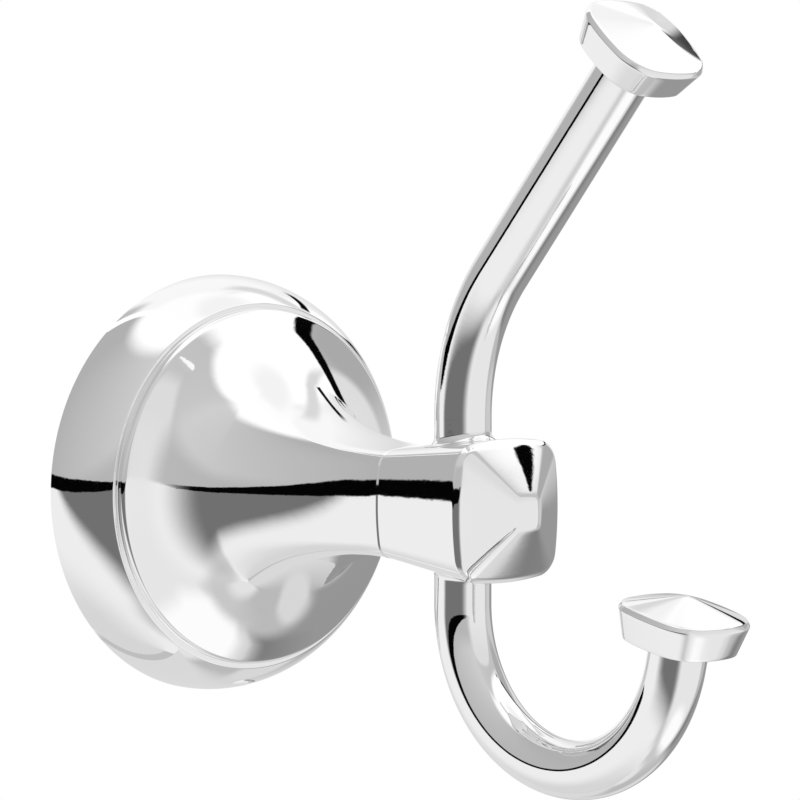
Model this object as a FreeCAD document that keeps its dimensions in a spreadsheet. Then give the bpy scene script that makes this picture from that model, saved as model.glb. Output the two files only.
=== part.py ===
import FreeCAD, Part
import math
import os
import Sketcher

# Double robe hook. The wall is the plane y = 0, the hook reaches towards -y and +z is up.
# The origin is where the axis of the round flange meets the wall.
# A depth below is a distance from the wall, so it is measured along -y.

doc = FreeCAD.newDocument("double_robe_hook")
sheet = doc.addObject("Spreadsheet::Sheet", "Sizes")

# Driving dimensions, in millimetres and degrees
SIZES = [
    ("flange_radius", 35.0, "radius of the flange on the wall"),
    ("flange_curve", 15.2, "radius of the rounded side of the flange"),
    ("ledge_depth", 10.8, "depth of the narrow flat ledge"),
    ("ledge_width", 0.9, "width of the ledge round the foot of the bell"),
    ("rim_height", 0.7, "height of the upright wall above the ledge"),
    ("rim_round", 0.9, "edge radius at the top of that wall"),
    ("rim_angle", 66.0, "turn of that edge away from the axis"),
    ("rim_width", 2.76, "breadth of the straight slope between that edge and the trumpet"),
    ("bell_pull", 18.5, "length of the curve handle at the foot of the trumpet"),
    ("neck_pull", 7.6, "length of the curve handle at the neck"),
    ("joint_depth", 50.5, "depth of the joint between post and hook"),
    ("neck_half", 9.0, "half width of the neck at the joint"),
    ("neck_flare", 5.3, "outward turn of the neck's sides at the joint"),
    ("neck_bulge", 42.0, "radius of the bulged sides at the joint"),
    ("neck_corner", 3.0, "corner radius at the joint"),
    ("morph_span", 8.6, "growth in half width over which the neck turns round"),
    ("joint_bevel", 0.25, "bevel on both sides of the joint line"),
    ("wall", 2.4, "wall of the hollow post"),
    ("throat_radius", 6.4, "radius of the bore behind the neck"),
    ("web", 8.5, "metal between that bore and the joint"),
    ("boss_radius", 4.5, "radius of the boss round the set screw"),
    ("boss_gap", 0.4, "gap between that boss and the bracket"),
    ("hub_half", 11.2, "half width of the hub at its widest"),
    ("hub_bulge", 53.5, "radius of the bulged sides there"),
    ("hub_corner", 4.0, "corner radius there"),
    ("hub_length", 19.9, "length from the joint to the widest section"),
    ("swell_ratio", 0.94, "how early the hub widens, 1 is straight"),
    ("hub_bevel", 0.8, "depth of the bevel round the hub's front"),
    ("hub_bevel_in", 0.7, "inset of that bevel"),
    ("point_half", 2.3, "half width of the flat on the hub's point"),
    ("point_corner", 0.9, "corner radius of that flat"),
    ("point_height", 4.5, "height of the hub's low pyramid"),
    ("arm_setback", 10.2, "distance of the arms' axis from the joint"),
    ("arm_radius", 4.5, "radius of the round arms"),
    ("arm_fillet", 1.4, "fillet between arms and hub"),
    ("upper_rise", 14.2, "height where the upper arm starts to bend"),
    ("upper_bend", 34.4, "bend radius of the upper arm"),
    ("upper_angle", 41.3, "lean of the upper arm"),
    ("upper_run", 42.0, "straight run of the upper arm past its bend"),
    ("lower_drop", 15.3, "drop where the lower arm starts to bend"),
    ("lower_bend", 23.4, "bend radius of the lower arm"),
    ("lower_angle", 167.8, "turn of the lower arm"),
    ("lower_run", 3.0, "straight run of the lower arm past its bend"),
    ("finial_foot", 7.75, "half width at the foot of a finial"),
    ("finial_half", 8.9, "half width of a finial at its widest"),
    ("finial_bulge", 23.5, "radius of its bulged sides"),
    ("finial_corner", 5.8, "corner radius of a finial"),
    ("finial_height", 4.55, "height from its foot to its widest section"),
    ("finial_bevel", 0.67, "height of its bevel"),
    ("finial_bevel_in", 0.43, "inset of its bevel"),
    ("finial_point", 2.4, "height of its low pyramid"),
    ("finial_tip", 0.5, "half width of its blunt tip"),
    ("spigot_radius", 3.2, "radius of the arm's end inside a finial"),
    ("spigot_length", 3.0, "length of the arm's end inside a finial"),
    ("key_half", 5.4, "half width of the square key on the hook"),
    ("key_length", 2.6, "length of the key"),
    ("fit_gap", 0.05, "clearance of the key, spigots and threads"),
    ("end_gap", 0.1, "room past the end of the key and the spigots"),
    ("joint_thread", 2.5, "thread radius of the joint screw"),
    ("joint_length", 16.0, "length of the joint screw under its head"),
    ("joint_head", 4.6, "head radius of the joint screw"),
    ("joint_head_height", 3.2, "head height of the joint screw"),
    ("joint_head_edge", 0.9, "bevel of the head's edge"),
    ("joint_tip", 0.5, "bevel of the joint screw's tip"),
    ("tapped_spare", 1.5, "tapped hole past the joint screw's tip"),
    ("recess_width", 1.3, "width of each arm of the cross recess"),
    ("recess_reach", 2.5, "reach of the cross recess from the axis"),
    ("recess_depth", 1.6, "depth of the cross recess"),
    ("washer_thick", 1.3, "thickness of the lock washer"),
    ("washer_width", 1.7, "radial width of the lock washer"),
    ("washer_split", 1.0, "gap of the lock washer"),
    ("pass_gap", 0.25, "clearance of the joint screw in post and washer"),
    ("strip_thick", 1.6, "thickness of the wall bracket"),
    ("strip_half", 9.0, "half width of the wall bracket"),
    ("strip_bend", 1.0, "inside bend radius of the wall bracket"),
    ("lip_height", 5.0, "how far the lips stand out from the wall"),
    ("lip_gap", 0.25, "clearance between upper lip and flange"),
    ("lip_setback", 7.5, "distance from the lower lip to the foot of the flange"),
    ("hole_reach", 17.0, "distance of each wall hole from the axis"),
    ("hole_radius", 2.3, "radius of the wall holes"),
    ("set_thread", 2.0, "thread radius of the set screw"),
    ("set_length", 6.0, "length of the set screw"),
    ("set_depth", 3.0, "depth of the set screw's axis"),
    ("set_cone", 0.6, "bevel of the set screw's tip"),
    ("socket_across", 2.0, "width across flats of its socket"),
    ("socket_depth", 2.2, "depth of its socket"),
]

NAMES = [alias for alias, value, note in SIZES]
for row, (alias, value, note) in enumerate(SIZES, start=1):
    sheet.set("A%d" % row, note)
    sheet.set("B%d" % row, str(value))
    sheet.setAlias("B%d" % row, alias)
doc.recompute()


def size(alias):
    """A driving dimension, read from the sheet."""
    return float(getattr(sheet, alias))


def bound(text):
    """An expression whose driving dimensions point at their cells of the sheet."""
    words = ["Sizes." + word if word in NAMES else word for word in text.split()]
    return " ".join(words).replace("sqrt (", "sqrt(")


def tie(item, path, text):
    """Bind one property of an object to the sheet."""
    item.setExpression(path, bound(text))


# Bodies and their sketches

ORIGIN = (-1, 1)


def new_body(name):
    body = doc.addObject("PartDesign::Body", name)
    body.Label = name
    return body


def origin_part(body, role):
    """The origin plane or axis of a body with the given role."""
    for item in body.Origin.OriginFeatures:
        if item.Role == role:
            return item
    raise ValueError(role)


def new_sketch(body, name, role, offset=None):
    """A sketch on an origin plane of its own body, moved along its normal by a bound offset."""
    sketch = body.newObject("Sketcher::SketchObject", name)
    sketch.AttachmentSupport = [(origin_part(body, role), "")]
    sketch.MapMode = "FlatFace"
    if offset:
        tie(sketch, "AttachmentOffset.Base.z", offset)
    return sketch


def pin(sketch, curve, end, across, up):
    """Hold one point of the sketch at two bound distances from the origin."""
    place = sketch.getPoint(curve, end)
    for kind, now, text in (("DistanceX", place.x, across), ("DistanceY", place.y, up)):
        index = sketch.addConstraint(Sketcher.Constraint(kind, *ORIGIN, curve, end, now))
        tie(sketch, "Constraints[%d]" % index, text)


def polygon(sketch, corners):
    """A closed outline of straight lines through corners given as pairs of expressions."""
    places = [FreeCAD.Vector(worth(across), worth(up), 0) for across, up in corners]
    count = len(corners)
    for number in range(count):
        sketch.addGeometry(Part.LineSegment(places[number], places[(number + 1) % count]), False)
    for number in range(count):
        sketch.addConstraint(Sketcher.Constraint("Coincident", number, 2, (number + 1) % count, 1))
    for number, (across, up) in enumerate(corners):
        pin(sketch, number, 1, across, up)


def worth(text):
    """The present value of an expression, worked out in a spare cell."""
    sheet.set("D1", "=" + text.replace("sqrt (", "sqrt("))
    doc.recompute([sheet])
    value = float(sheet.get("D1"))
    sheet.clear("D1")
    return value


def circle(sketch, radius, across, up):
    """A circle of bound radius round a bound centre."""
    centre = FreeCAD.Vector(worth(across), worth(up), 0)
    curve = sketch.addGeometry(Part.Circle(centre, FreeCAD.Vector(0, 0, 1), worth(radius)), False)
    pin(sketch, curve, 3, across, up)
    ring = sketch.addConstraint(Sketcher.Constraint("Radius", curve, worth(radius)))
    tie(sketch, "Constraints[%d]" % ring, radius)


def pad(body, sketch, name, length):
    item = body.newObject("PartDesign::Pad", name)
    item.Profile = sketch
    item.SideType = "Symmetric"
    tie(item, "Length", length)
    return item


def turned(body, sketch, name):
    """The sketch turned once round its upright axis."""
    item = body.newObject("PartDesign::Revolution", name)
    item.Profile = sketch
    item.ReferenceAxis = (sketch, ["V_Axis"])
    item.Angle = 360.0
    return item


def pocket(body, sketch, name, depth, reverse):
    """A recess of bound depth, or through everything when no depth is given."""
    before = body.Shape.Volume
    item = body.newObject("PartDesign::Pocket", name)
    item.Profile = sketch
    item.Reversed = reverse
    if depth:
        tie(item, "Length", depth)
    else:
        item.Type = "ThroughAll"
    doc.recompute()
    if body.Shape.Volume >= before:
        raise ValueError(name + " cuts nothing")
    return item


# Plain solids, their unions and their cuts

def cylinder(name, radius, height, start, direction):
    """A bound cylinder that starts at a point and runs along a direction."""
    item = doc.addObject("Part::Cylinder", name)
    tie(item, "Radius", radius)
    tie(item, "Height", height)
    item.Placement = FreeCAD.Placement(start, FreeCAD.Rotation(FreeCAD.Vector(0, 0, 1), direction))
    return item


def made(name, shape):
    """A solid whose shape comes from the functions below."""
    item = doc.addObject("Part::Feature", name)
    item.Shape = shape
    return item


def join(name, items):
    item = doc.addObject("Part::MultiFuse", name)
    item.Shapes = items
    item.Refine = True
    return item


def cut(name, base, tool):
    item = doc.addObject("Part::Cut", name)
    item.Base = base
    item.Tool = tool
    return item


def overlap(name, one, other):
    item = doc.addObject("Part::MultiCommon", name)
    item.Shapes = [one, other]
    return item


def at(across, depth, height=0.0):
    """A point at a depth from the wall."""
    return FreeCAD.Vector(across, -depth, height)


# Rounded squares: four bulged sides and four corners, eight tangent arcs

ROUND_SWING = math.radians(12.0)
ROUND_LIMIT = 0.001


def rounded_square(half, bulge, corner, depth):
    """A closed wire about the axis. A bulge and a corner equal to the half width give a circle."""
    shift = bulge - half
    reach = bulge - corner
    offset = (math.sqrt(max(2.0 * reach * reach - shift * shift, 0.0)) - shift) / 2.0
    swing = math.atan2(offset, offset + shift) if reach > half * ROUND_LIMIT else ROUND_SWING
    edges = []
    for quarter in range(4):
        turn = FreeCAD.Rotation(FreeCAD.Vector(0, -1, 0), 90.0 * quarter)

        def arc(centre_across, centre_up, radius, angles):
            points = []
            for angle in angles:
                across = centre_across + radius * math.cos(angle)
                up = centre_up + radius * math.sin(angle)
                points.append(turn.multVec(at(across, depth, up)))
            return Part.Arc(*points).toShape()

        edges.append(arc(-shift, 0.0, bulge, (-swing, 0.0, swing)))
        edges.append(arc(offset, offset, corner, (swing, math.pi / 4.0, math.pi / 2.0 - swing)))
    return Part.Wire(edges)


# Post

def ledge_radius():
    """Radius where the rounded side of the flange meets the ledge."""
    curve = size("flange_curve")
    return size("flange_radius") - curve + math.sqrt(curve ** 2 - size("ledge_depth") ** 2)


def rim_end():
    """Radius and depth where the rounded edge of the rim runs into the bell's first slope."""
    slope = math.radians(size("rim_angle"))
    radius = ledge_radius() - size("ledge_width") - size("rim_round") * (1.0 - math.cos(slope))
    return radius, size("ledge_depth") + size("rim_height") + size("rim_round") * math.sin(slope)


def bell_foot():
    """Radius and depth of the foot of the trumpet."""
    radius, depth = rim_end()
    slope = math.radians(size("rim_angle"))
    return radius - size("rim_width"), depth + size("rim_width") / math.tan(slope)


def bell_point(share, inward=0.0):
    """Half width and depth on the trumpet, from the neck's bevel (0) to its foot (1), moved inward."""
    slope = math.radians(size("rim_angle"))
    foot_half, foot_depth = bell_foot()
    pull = size("bell_pull")
    neck_end = size("joint_depth") - size("joint_bevel")
    waist = size("neck_half") - size("neck_pull") * math.tan(math.radians(size("neck_flare")))
    knots = (
        (size("neck_half"), neck_end),
        (waist, neck_end - size("neck_pull")),
        (foot_half - pull * math.sin(slope), foot_depth + pull * math.cos(slope)),
        (foot_half, foot_depth))
    rest = 1.0 - share
    weights = (rest ** 3, 3 * rest ** 2 * share, 3 * rest * share ** 2, share ** 3)
    place = [sum(weight * knot[axis] for weight, knot in zip(weights, knots)) for axis in (0, 1)]
    speeds = (rest ** 2, 2 * rest * share, share ** 2)
    pace = [sum(speed * (knots[i + 1][axis] - knots[i][axis]) for i, speed in enumerate(speeds))
            for axis in (0, 1)]
    length = math.hypot(*pace)
    return place[0] + inward * pace[1] / length, place[1] - inward * pace[0] / length


def bell_wire(share):
    """Section of the trumpet: a rounded square at the joint that turns into a circle."""
    half, depth = bell_point(share)
    roundness = min(max((half - size("neck_half")) / size("morph_span"), 0.0), 1.0)
    scale = half / size("neck_half")
    bulge = 1.0 / ((1.0 - roundness) / (size("neck_bulge") * scale) + roundness / half)
    corner = (1.0 - roundness) * size("neck_corner") * scale + roundness * half
    return rounded_square(half, bulge, corner, depth)


def neck_bevel(direction):
    """A slim ruled collar that bevels the edge of the joint line, towards or away from the wall."""
    bevel = size("joint_bevel")
    half = size("neck_half")
    bulge = size("neck_bulge")
    corner = size("neck_corner")
    wide = rounded_square(half, bulge, corner, size("joint_depth") + direction * bevel)
    slim = rounded_square(half - bevel, bulge - bevel, corner - bevel, size("joint_depth"))
    return Part.makeLoft([wide, slim], True, True)


BELL_SHARES = (0.0, 0.16, 0.32, 0.48, 0.63, 0.77, 0.89, 1.0)


def trumpet_shape():
    """The trumpet between its foot and the joint."""
    return Part.makeLoft([bell_wire(share) for share in BELL_SHARES], True, False).fuse(neck_bevel(-1))


def flange_face():
    """Half section of the flange, its ledge and the rim of the bell."""
    curve = size("flange_curve")
    ledge = size("ledge_depth")
    small = size("rim_round")
    centre = size("flange_radius") - curve
    half_way = math.asin(ledge / curve) / 2.0
    foot = ledge_radius() - size("ledge_width")
    rim = ledge + size("rim_height")
    lean = math.radians(size("rim_angle")) / 2.0
    side = Part.Arc(
        at(size("flange_radius"), 0),
        at(centre + curve * math.cos(half_way), curve * math.sin(half_way)),
        at(ledge_radius(), ledge)).toShape()
    edge = Part.Arc(
        at(foot, rim),
        at(foot - small * (1.0 - math.cos(lean)), rim + small * math.sin(lean)),
        at(*rim_end())).toShape()
    flat = [at(*rim_end()), at(*bell_foot()), at(0, bell_foot()[1]), at(0, 0), at(size("flange_radius"), 0)]
    return Part.Face(Part.Wire([
        side,
        Part.makePolygon([at(ledge_radius(), ledge), at(foot, ledge), at(foot, rim)]),
        edge,
        Part.makePolygon(flat)]))


HOLLOW_SHARES = (0.95, 0.85, 0.73, 0.6, 0.45, 0.3)


def hollow_face():
    """Half section of the hollow: it follows the outside one wall further in."""
    wall = size("wall")
    curve = size("flange_curve") - wall
    centre = size("flange_radius") - size("flange_curve")
    floor = size("joint_depth") - size("web")
    throat = size("throat_radius")
    turn = math.asin(size("ledge_depth") / size("flange_curve"))
    flank_end = at(centre + curve * math.cos(turn), curve * math.sin(turn))
    flank = Part.Arc(
        at(centre + curve, 0),
        at(centre + curve * math.cos(turn / 2.0), curve * math.sin(turn / 2.0)),
        flank_end).toShape()
    inside = [bell_point(share, wall) for share in HOLLOW_SHARES]
    inside = [point for point in inside if point[0] > throat and point[1] < floor]
    line = Part.BSplineCurve()
    line.interpolate([at(*point) for point in inside])
    last = inside[-1]
    flat = [at(*last), at(throat, last[1] + last[0] - throat), at(throat, floor), at(0, floor), at(0, 0),
            at(centre + curve, 0)]
    return Part.Face(Part.Wire([
        flank,
        Part.makePolygon([flank_end, at(*inside[0])]),
        line.toShape(),
        Part.makePolygon(flat)]))


def turned_solid(name, face):
    """A face turned once round the axis of the post."""
    item = doc.addObject("Part::Revolution", name)
    item.Source = made(name + "_section", face)
    item.Axis = FreeCAD.Vector(0, 1, 0)
    item.Angle = 360.0
    item.Solid = True
    return item


def build_post():
    """Hollow casting: flange, bell and neck, with a keyed web and a boss for the set screw."""
    down = FreeCAD.Vector(0, 0, -1)
    forward = FreeCAD.Vector(0, -1, 0)
    outside = join("post_outside", [turned_solid("flange", flange_face()), made("trumpet", trumpet_shape())])
    shell = cut("post_shell", outside, turned_solid("hollow", hollow_face()))
    lip = size("flange_radius") - size("lip_setback")
    boss = cylinder("boss", "boss_radius", "lip_setback - boss_gap",
                    at(0, size("set_depth"), -lip - size("boss_gap")), down)
    body = join("post_body", [shell, overlap("boss_in_flange", boss, outside)])
    reach = size("joint_depth") - size("web")
    screw_way = cylinder("screw_way", "joint_thread + pass_gap", "web", at(0, reach), forward)
    socket = doc.addObject("Part::Box", "key_socket")
    tie(socket, "Length", "2 * ( key_half + fit_gap )")
    tie(socket, "Width", "key_length + end_gap")
    tie(socket, "Height", "2 * ( key_half + fit_gap )")
    corner = size("key_half") + size("fit_gap")
    socket.Placement.Base = at(-corner, size("joint_depth"), -corner)
    set_way = cylinder("set_way", "set_thread + fit_gap", "lip_setback", at(0, size("set_depth"), -lip), down)
    post = cut("post", body, join("post_openings", [screw_way, socket, set_way]))
    post.Label = "post"
    return post


# Hook

def hub_wire(share):
    """Section of the hub between the bevel of the joint (0) and its widest place (1)."""
    swell = size("swell_ratio")
    bevel = size("joint_bevel")
    rise = swell * share + (1.0 - swell) * share ** 2

    def between(start, end, part):
        return size(start) + (size(end) - size(start)) * part

    return rounded_square(
        between("neck_half", "hub_half", rise),
        between("neck_bulge", "hub_bulge", share),
        between("neck_corner", "hub_corner", share),
        size("joint_depth") + bevel + (size("hub_length") - bevel) * share)


HUB_SHARES = (0.0, 0.5, 1.0)


def hub_shape():
    """The flared hub with its bevelled front and low pyramid, and the square key behind it."""
    joint = size("joint_depth")
    bevel = size("joint_bevel")
    flare = Part.makeLoft([hub_wire(share) for share in HUB_SHARES], True, False)
    half = size("hub_half")
    bulge = size("hub_bulge")
    point = size("point_half")
    inset = size("hub_bevel_in")
    front = joint + size("hub_length") + size("hub_bevel")
    base = rounded_square(half - inset, bulge - inset, size("hub_corner") - inset, front)
    flat = rounded_square(point, bulge * point / half, size("point_corner"), front + size("point_height"))
    key = size("key_half")
    spread = Part.makeBox(2 * key, size("key_length") + bevel, 2 * key, at(-key, joint + bevel, -key))
    return flare.fuse([
        neck_bevel(1),
        Part.makeLoft([hub_wire(1.0), base], True, True),
        Part.makeLoft([base, flat], True, True),
        spread]).removeSplitter()


def arm_depth():
    """Depth of the axis on which both arms leave the hub."""
    return size("joint_depth") + size("arm_setback")


def upper_path():
    """Middle line of the upper arm and its direction at the end."""
    lean = math.radians(size("upper_angle"))
    bend = size("upper_bend")
    depth = arm_depth()
    rise = size("upper_rise")

    def on_bend(angle):
        return at(0, depth + bend * (1.0 - math.cos(angle)), rise + bend * math.sin(angle))

    end = on_bend(lean)
    way = at(0, math.sin(lean), math.cos(lean))
    tip = end + way * size("upper_run")
    edges = [
        Part.makeLine(at(0, depth, 0), at(0, depth, rise)),
        Part.Arc(on_bend(0), on_bend(lean / 2.0), end).toShape(),
        Part.makeLine(end, tip)]
    return Part.Wire(edges), tip, way


def lower_path():
    """Middle line of the lower arm and its direction at the end."""
    turn = math.radians(size("lower_angle"))
    bend = size("lower_bend")
    depth = arm_depth()
    drop = size("lower_drop")

    def on_bend(angle):
        return at(0, depth + bend * (1.0 - math.cos(angle)), -drop - bend * math.sin(angle))

    end = on_bend(turn)
    way = at(0, math.sin(turn), -math.cos(turn))
    tip = end + way * size("lower_run")
    edges = [
        Part.makeLine(at(0, depth, 0), at(0, depth, -drop)),
        Part.Arc(on_bend(0), on_bend(turn / 2.0), end).toShape(),
        Part.makeLine(end, tip)]
    return Part.Wire(edges), tip, way


def arm_shape(path):
    """A round bar along a path that starts upright."""
    centre = at(0, arm_depth(), 0)
    ring = Part.Wire(Part.makeCircle(size("arm_radius"), centre, FreeCAD.Vector(0, 0, 1)))
    return path.makePipeShell([ring], True, False)


SLACK = 0.02
EDGE_POINTS = 9


def root_edges(shape):
    """Numbers of the edges where the arms leave the hub: they lie on the arms' sides, by the hub's faces."""
    slack = size("arm_radius") * SLACK
    top = min(size("hub_half") + slack, size("lower_drop") - slack, size("upper_rise") - slack)
    found = []
    for number, edge in enumerate(shape.Edges, start=1):
        points = edge.discretize(EDGE_POINTS)
        off = [abs(math.hypot(point.x, point.y + arm_depth()) - size("arm_radius")) for point in points]
        if max(off) < slack and max(abs(point.z) for point in points) < top:
            found.append(number)
    return found


def build_hook():
    """One casting: the hub and both arms, with a tapped hole for the joint screw."""
    upper, upper_tip, upper_way = upper_path()
    lower, lower_tip, lower_way = lower_path()
    whole = join("hook_whole", [
        made("hub", hub_shape()), made("upper_arm", arm_shape(upper)), made("lower_arm", arm_shape(lower))])
    doc.recompute()
    blended = doc.addObject("Part::Fillet", "hook_blended")
    blended.Base = whole
    radius = size("arm_fillet")
    blended.Edges = [(number, radius, radius) for number in root_edges(whole.Shape)]
    ends = [
        cylinder("upper_spigot", "spigot_radius", "spigot_length", upper_tip, upper_way),
        cylinder("lower_spigot", "spigot_radius", "spigot_length", lower_tip, lower_way)]
    start = size("joint_depth") - size("key_length")
    tapped = cylinder("tapped_hole", "joint_thread + fit_gap",
                      "joint_length + tapped_spare - washer_thick - web + key_length",
                      at(0, start), FreeCAD.Vector(0, -1, 0))
    hook = cut("hook", join("hook_with_ends", [blended] + ends), tapped)
    hook.Label = "hook"
    return hook


# Finials

def finial_solid():
    """A finial that stands on its foot at the origin and points along -y."""
    foot = size("finial_foot")
    half = size("finial_half")
    bulge = size("finial_bulge")
    corner = size("finial_corner")
    inset = size("finial_bevel_in")
    tip = size("finial_tip")
    height = size("finial_height")
    crown = height + size("finial_bevel")
    sections = [
        rounded_square(foot, bulge * foot / half, corner * foot / half, 0),
        rounded_square(half, bulge, corner, height),
        rounded_square(half - inset, bulge - inset, corner - inset, crown),
        rounded_square(tip, bulge * tip / half, corner * tip / half, crown + size("finial_point"))]
    radius = size("spigot_radius") + size("fit_gap")
    depth = size("spigot_length") + size("end_gap")
    socket = Part.makeCylinder(radius, depth, at(0, 0), FreeCAD.Vector(0, -1, 0))
    return Part.makeLoft(sections, True, True).cut(socket)


def build_finial(name, tip, way):
    """A finial seated on the end of an arm."""
    finial = made(name, finial_solid())
    finial.Label = name
    finial.Placement = FreeCAD.Placement(tip, FreeCAD.Rotation(FreeCAD.Vector(0, -1, 0), way))
    return finial


# Joint screw and lock washer

WEB_FLOOR = "( joint_depth - web )"
HEAD_SEAT = "( joint_depth - web - washer_thick )"
HEAD_TOP = "( joint_depth - web - washer_thick - joint_head_height )"
SCREW_TIP = "( joint_depth - web - washer_thick + joint_length )"


def build_joint_screw():
    """Pan head machine screw that pulls the hook against the neck."""
    body = new_body("joint_screw")
    profile = new_sketch(body, "joint_screw_profile", "XY_Plane")
    polygon(profile, [
        ("0", "0 - " + HEAD_TOP),
        ("joint_head - joint_head_edge", "0 - " + HEAD_TOP),
        ("joint_head", "0 - " + HEAD_TOP + " - joint_head_edge"),
        ("joint_head", "0 - " + HEAD_SEAT),
        ("joint_thread", "0 - " + HEAD_SEAT),
        ("joint_thread", "0 - " + SCREW_TIP + " + joint_tip"),
        ("joint_thread - joint_tip", "0 - " + SCREW_TIP),
        ("0", "0 - " + SCREW_TIP)])
    turned(body, profile, "joint_screw_turned")
    doc.recompute()
    recess = new_sketch(body, "cross_recess", "XZ_Plane", HEAD_TOP)
    wide = "recess_width / 2"
    far = "recess_reach"
    polygon(recess, [
        (wide, wide), (wide, far), ("0 - " + wide, far), ("0 - " + wide, wide),
        ("0 - " + far, wide), ("0 - " + far, "0 - " + wide), ("0 - " + wide, "0 - " + wide),
        ("0 - " + wide, "0 - " + far), (wide, "0 - " + far), (wide, "0 - " + wide),
        (far, "0 - " + wide), (far, wide)])
    pocket(body, recess, "cross_recess_cut", "recess_depth", True)
    return body


def build_lock_washer():
    """Split spring washer under the head of the joint screw."""
    body = new_body("lock_washer")
    bore = "joint_thread + pass_gap"
    rim = bore + " + washer_width"
    profile = new_sketch(body, "lock_washer_profile", "XY_Plane")
    polygon(profile, [
        (bore, "0 - " + WEB_FLOOR), (rim, "0 - " + WEB_FLOOR),
        (rim, "0 - " + HEAD_SEAT), (bore, "0 - " + HEAD_SEAT)])
    turned(body, profile, "lock_washer_ring")
    doc.recompute()
    split = new_sketch(body, "lock_washer_split", "XZ_Plane", HEAD_SEAT)
    side = "washer_split / 2"
    past = rim + " + washer_split"
    polygon(split, [("0 - " + side, "0"), (side, "0"), (side, past), ("0 - " + side, past)])
    pocket(body, split, "lock_washer_gap", "washer_thick", True)
    return body


# Wall bracket

LOWER_LIP = "( flange_radius - lip_setback )"
UPPER_LIP = ("sqrt ( ( flange_radius - flange_curve + sqrt ( ( flange_curve - wall ) ^ 2 - lip_height ^ 2 ) "
             "- lip_gap ) ^ 2 - strip_half ^ 2 )")


def build_wall_bracket():
    """Bent steel strip on the wall: the flange hangs on its upper lip and is gripped at the lower one."""
    body = new_body("wall_bracket")
    profile = new_sketch(body, "strip_profile", "YZ_Plane")
    polygon(profile, [
        ("0", "0 - " + LOWER_LIP),
        ("0", UPPER_LIP),
        ("0 - lip_height", UPPER_LIP),
        ("0 - lip_height", UPPER_LIP + " - strip_thick"),
        ("0 - strip_thick", UPPER_LIP + " - strip_thick"),
        ("0 - strip_thick", "0 - " + LOWER_LIP + " + strip_thick"),
        ("0 - lip_height", "0 - " + LOWER_LIP + " + strip_thick"),
        ("0 - lip_height", "0 - " + LOWER_LIP)])
    pad(body, profile, "strip", "2 * strip_half")
    doc.recompute()
    bend(body, "inner_bends", "strip_bend", size("strip_thick"))
    bend(body, "outer_bends", "strip_bend + strip_thick", 0.0)
    holes = new_sketch(body, "wall_holes", "XZ_Plane")
    circle(holes, "hole_radius", "0", "hole_reach")
    circle(holes, "hole_radius", "0", "0 - hole_reach")
    pocket(body, holes, "wall_holes_cut", None, True)
    return body


def bend(body, name, radius, depth):
    """Round the long bend edges that lie at a depth from the wall."""
    base = body.Tip
    edges = []
    for number, edge in enumerate(base.Shape.Edges, start=1):
        box = edge.BoundBox
        along = box.XLength > size("strip_half")
        if along and abs(-box.YMin - depth) < size("strip_thick") * SLACK:
            edges.append("Edge%d" % number)
    item = body.newObject("PartDesign::Fillet", name)
    item.Base = (base, edges)
    tie(item, "Radius", radius)
    doc.recompute()


# Set screw

def build_set_screw():
    """Socket set screw in the underside of the flange, its tip on the lower lip."""
    body = new_body("set_screw")
    profile = new_sketch(body, "set_screw_profile", "XZ_Plane")
    end = "0 - " + LOWER_LIP + " - set_length"
    polygon(profile, [
        ("0", "0 - " + LOWER_LIP),
        ("set_thread - set_cone", "0 - " + LOWER_LIP),
        ("set_thread", "0 - " + LOWER_LIP + " - set_cone"),
        ("set_thread", end),
        ("0", end)])
    turned(body, profile, "set_screw_turned")
    doc.recompute()
    socket = new_sketch(body, "hex_socket", "XY_Plane", end)
    corners = []
    for number in range(6):
        turn = math.radians(60.0 * number)
        corners.append(("socket_across / sqrt ( 3 ) * %.9f" % math.cos(turn),
                        "socket_across / sqrt ( 3 ) * %.9f" % math.sin(turn)))
    polygon(socket, corners)
    pocket(body, socket, "hex_socket_cut", "socket_depth", True)
    body.Placement.Base = at(0, size("set_depth"))
    return body


pieces = [
    build_post(),
    build_hook(),
    build_finial("upper_finial", upper_path()[1], upper_path()[2]),
    build_finial("lower_finial", lower_path()[1], lower_path()[2]),
    build_joint_screw(),
    build_lock_washer(),
    build_wall_bracket(),
    build_set_screw(),
]
doc.recompute()

for item in doc.Objects:
    if "Invalid" in item.State or "Error" in item.State:
        raise ValueError("failed: " + item.Name)
os.makedirs("parts", exist_ok=True)
for piece in pieces:
    if piece.Shape.isNull() or not piece.Shape.isValid() or len(piece.Shape.Solids) != 1:
        raise ValueError("bad solid: " + piece.Label)
for piece in pieces:
    piece.Shape.exportStep("parts/%s.step" % piece.Label)
    print(piece.Label, round(piece.Shape.Volume, 1))
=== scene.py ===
import math

import bpy
import numpy as np
from mathutils import Matrix, Vector


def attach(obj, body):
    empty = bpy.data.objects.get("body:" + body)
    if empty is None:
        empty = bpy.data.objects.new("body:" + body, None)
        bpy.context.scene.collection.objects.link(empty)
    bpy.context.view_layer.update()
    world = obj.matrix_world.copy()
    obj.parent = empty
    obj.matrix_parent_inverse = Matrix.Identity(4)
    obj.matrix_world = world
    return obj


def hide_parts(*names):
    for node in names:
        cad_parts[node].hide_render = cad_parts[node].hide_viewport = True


# The double robe hook: chromed castings as smooth meshes, metal materials, a studio and the camera.
# Lengths are in millimetres until they reach Blender. The wall is the plane y = 0, the hook points
# to -y, and z is up.

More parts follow.
